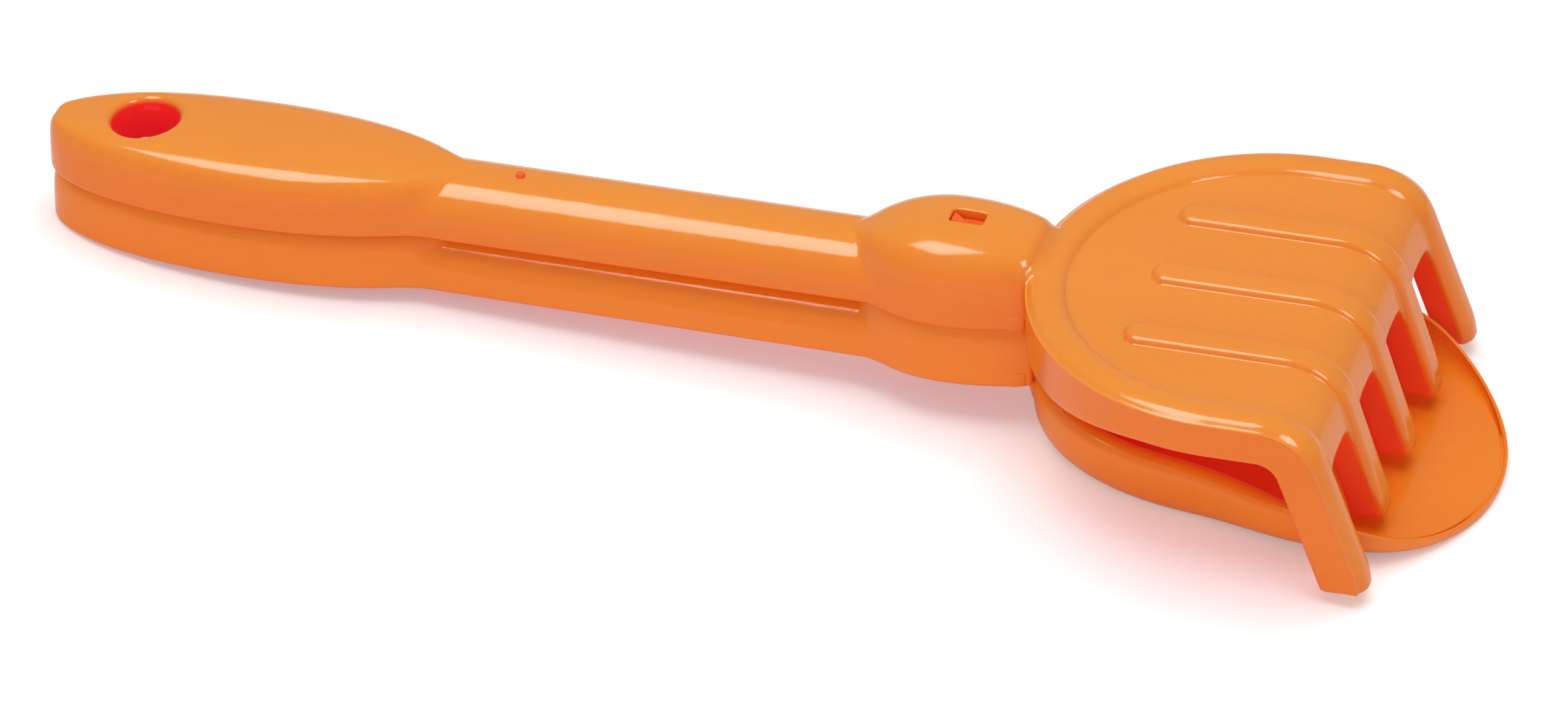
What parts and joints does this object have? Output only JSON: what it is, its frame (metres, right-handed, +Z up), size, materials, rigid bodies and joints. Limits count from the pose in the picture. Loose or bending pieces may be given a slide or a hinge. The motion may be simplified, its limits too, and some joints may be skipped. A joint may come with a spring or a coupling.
{
  "type": "toy sand rake",
  "caption": "Glossy moulded toy sand rake with a rimmed plate bent down into channel tines, nested on a matching round-tipped scoop that it lifts off.",
  "frame": {"origin": "middle of the stack's outline on the floor that the scoop lies on", "axes": "+X along the handles from the grips towards the tines, +Y to the left, +Z up from the floor"},
  "size_m": [0.3975, 0.1244, 0.0532],
  "materials": {
    "rake_plastic": "glossy orange, moulded",
    "scoop_plastic": "glossy orange, moulded"
  },
  "bodies": {
    "shovel": {"shovel_handle": "scoop_plastic", "shovel_blade": "scoop_plastic"},
    "rake": {"rake_handle": "rake_plastic", "rake_head": "rake_plastic"}
  },
  "joints": [
    {"name": "rake_lift", "type": "slide", "parent": "shovel", "child": "rake", "axis": [-0.0489, 0, 0.9988], "range_m": [0, 0.12]}
  ]
}
